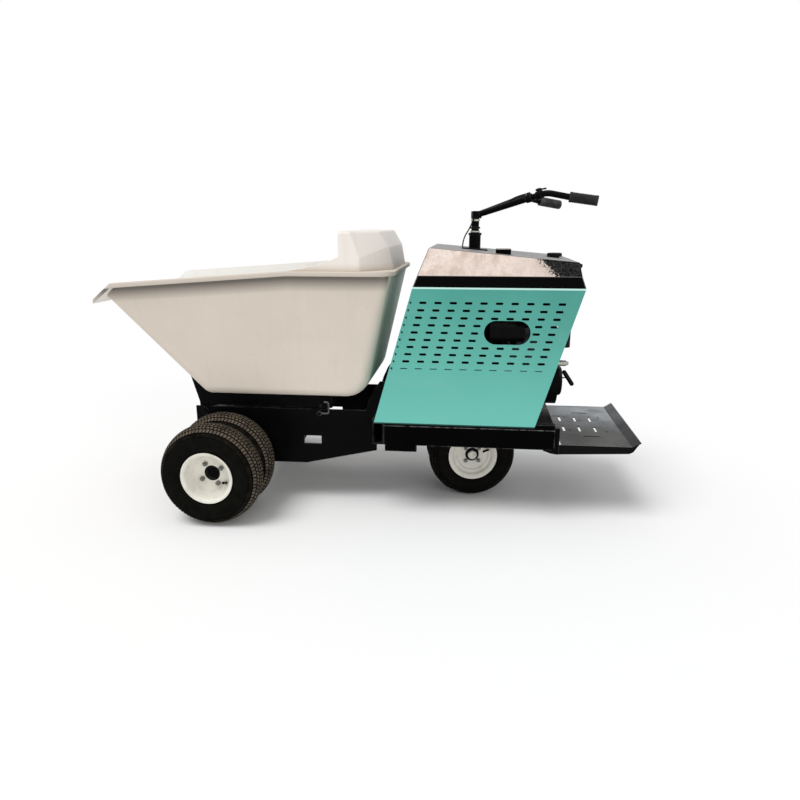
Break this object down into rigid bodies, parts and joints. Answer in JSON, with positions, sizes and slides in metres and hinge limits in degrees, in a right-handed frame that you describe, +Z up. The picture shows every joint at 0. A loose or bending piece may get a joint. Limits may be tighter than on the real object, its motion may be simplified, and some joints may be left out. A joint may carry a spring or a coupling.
{
  "type": "wheeled dumper",
  "caption": "Ride-on power buggy with a forward-tipping moulded tub on dual front wheels, engine bay behind slotted panels, steered rear wheels and a fold-up platform.",
  "frame": {"origin": "on the ground under the middle of the bounding box", "axes": "+X to the back of the machine, +Z up, -Y the machine's left side"},
  "size_m": [2.3906, 1.229, 1.4297],
  "materials": {
    "tub_plastic": "moulded polyethylene, slightly rough, pale beige",
    "frame_black": "gloss black paint",
    "panel_teal": "gloss teal paint",
    "cowl_black": "gloss black paint",
    "rim_cream": "cream paint",
    "tyre": "dusty black rubber",
    "zinc": "zinc plated",
    "engine_grey": "cast aluminium",
    "engine_black": "satin black paint",
    "black_plastic": "black plastic",
    "grip_rubber": "ribbed black rubber",
    "hose_rubber": "black hose",
    "rope": "braided cord"
  },
  "bodies": {
    "chassis": {"front_cross_tube": "frame_black", "mid_cross_tube": "frame_black", "hinge_shaft": "frame_black", "transom": "frame_black", "engine_deck": "frame_black", "rear_bar": "frame_black", "bulkhead": "panel_teal", "noise_lining": "black_plastic", "rear_screen": "frame_black", "cowl": "cowl_black", "column_sleeve": "frame_black", "fuel_tank": "black_plastic", "crankcase": "engine_grey", "engine_cylinder": "engine_grey", "recoil_housing": "engine_black", "starter_rope": "rope", "muffler": "engine_black", "air_cleaner": "black_plastic", "pump": "engine_grey", "hydraulic_tank": "frame_black", "bearing_housing": "frame_black", "side_plate_left": "frame_black", "rear_rail_left": "frame_black", "side_panel_left": "panel_teal", "wheel_motor_left": "engine_black", "side_plate_right": "frame_black", "rear_rail_right": "frame_black", "side_panel_right": "panel_teal", "wheel_motor_right": "engine_black"},
    "tub_body": {"tub": "tub_plastic", "tub_cradle": "frame_black"},
    "latch": {"latch_hook": "zinc"},
    "steering": {"steering_shaft": "frame_black", "steering_head": "frame_black", "rear_axle": "zinc", "throttle_cable_upper": "hose_rubber", "throttle_cable_lower": "hose_rubber", "handlebar_left": "frame_black", "grip_left": "grip_rubber", "handlebar_right": "frame_black", "grip_right": "grip_rubber"},
    "lever": {"throttle_lever": "black_plastic"},
    "operator_platform": {"platform": "frame_black"},
    "starter": {"starter_grip": "black_plastic"},
    "filler_cap": {"fuel_cap": "black_plastic"},
    "hood_latch": {"cowl_latch_lever": "zinc"},
    "front_wheels_left": {"front_hub_left": "frame_black", "front_rim_outer_left": "rim_cream", "front_tyre_outer_left": "tyre", "front_rim_inner_left": "rim_cream", "front_tyre_inner_left": "tyre"},
    "rear_wheel_left": {"rear_rim_left": "rim_cream", "rear_tyre_left": "tyre"},
    "front_wheels_right": {"front_hub_right": "frame_black", "front_rim_outer_right": "rim_cream", "front_tyre_outer_right": "tyre", "front_rim_inner_right": "rim_cream", "front_tyre_inner_right": "tyre"},
    "rear_wheel_right": {"rear_rim_right": "rim_cream", "rear_tyre_right": "tyre"}
  },
  "joints": [
    {"name": "tub_tip", "type": "hinge", "parent": "chassis", "child": "tub_body", "pos_m": [-0.79025, 0, 0.43], "axis": [0, -1, 0], "range_deg": [0, 70]},
    {"name": "latch_swing", "type": "hinge", "parent": "chassis", "child": "latch", "pos_m": [-0.23825, -0.272, 0.436], "axis": [0, 1, 0], "range_deg": [-15, 50]},
    {"name": "steer", "type": "hinge", "parent": "chassis", "child": "steering", "pos_m": [0.45175, 0, 0.207], "axis": [0, 0, 1], "range_deg": [-43, 27], "deforming": ["throttle_cable_lower"]},
    {"name": "platform_fold", "type": "hinge", "parent": "chassis", "child": "operator_platform", "pos_m": [0.82675, 0, 0.32], "axis": [0, 1, 0], "range_deg": [-60, 0]},
    {"name": "throttle", "type": "hinge", "parent": "steering", "child": "lever", "pos_m": [0.71427, -0.17871, 1.41787], "axis": [-0.2055, 0.1355, 0.9692], "range_deg": [0, 50], "stiffness_Nm_per_rad": 0.15, "springref_deg": -17.19},
    {"name": "starter_pull", "type": "slide", "parent": "chassis", "child": "starter", "axis": [1, 0, 0], "range_m": [0, 0.45], "stiffness_N_per_m": 25, "springref_m": -0.25, "deforming": ["starter_rope"]},
    {"name": "filler_cap_turn", "type": "hinge", "parent": "chassis", "child": "filler_cap", "pos_m": [0.80775, -0.065, 1.15], "axis": [0, 0, 1], "range_deg": [0, 90]},
    {"name": "hood_latch_swing", "type": "hinge", "parent": "chassis", "child": "hood_latch", "pos_m": [0.89775, -0.25, 1.112], "axis": [0, -1, 0], "range_deg": [0, 80]},
    {"name": "front_drive_left", "type": "hinge", "parent": "chassis", "child": "front_wheels_left", "pos_m": [-0.66525, -0.532, 0.225], "axis": [0, 1, 0], "continuous": true},
    {"name": "rear_roll_left", "type": "hinge", "parent": "steering", "child": "rear_wheel_left", "pos_m": [0.464, -0.08714, 0.207], "axis": [-0.1392, 0.9903, 0], "continuous": true},
    {"name": "front_drive_right", "type": "hinge", "parent": "chassis", "child": "front_wheels_right", "pos_m": [-0.66525, 0.532, 0.225], "axis": [0, 1, 0], "continuous": true},
    {"name": "rear_roll_right", "type": "hinge", "parent": "steering", "child": "rear_wheel_right", "pos_m": [0.4395, 0.08714, 0.207], "axis": [-0.1392, 0.9903, 0], "continuous": true}
  ]
}
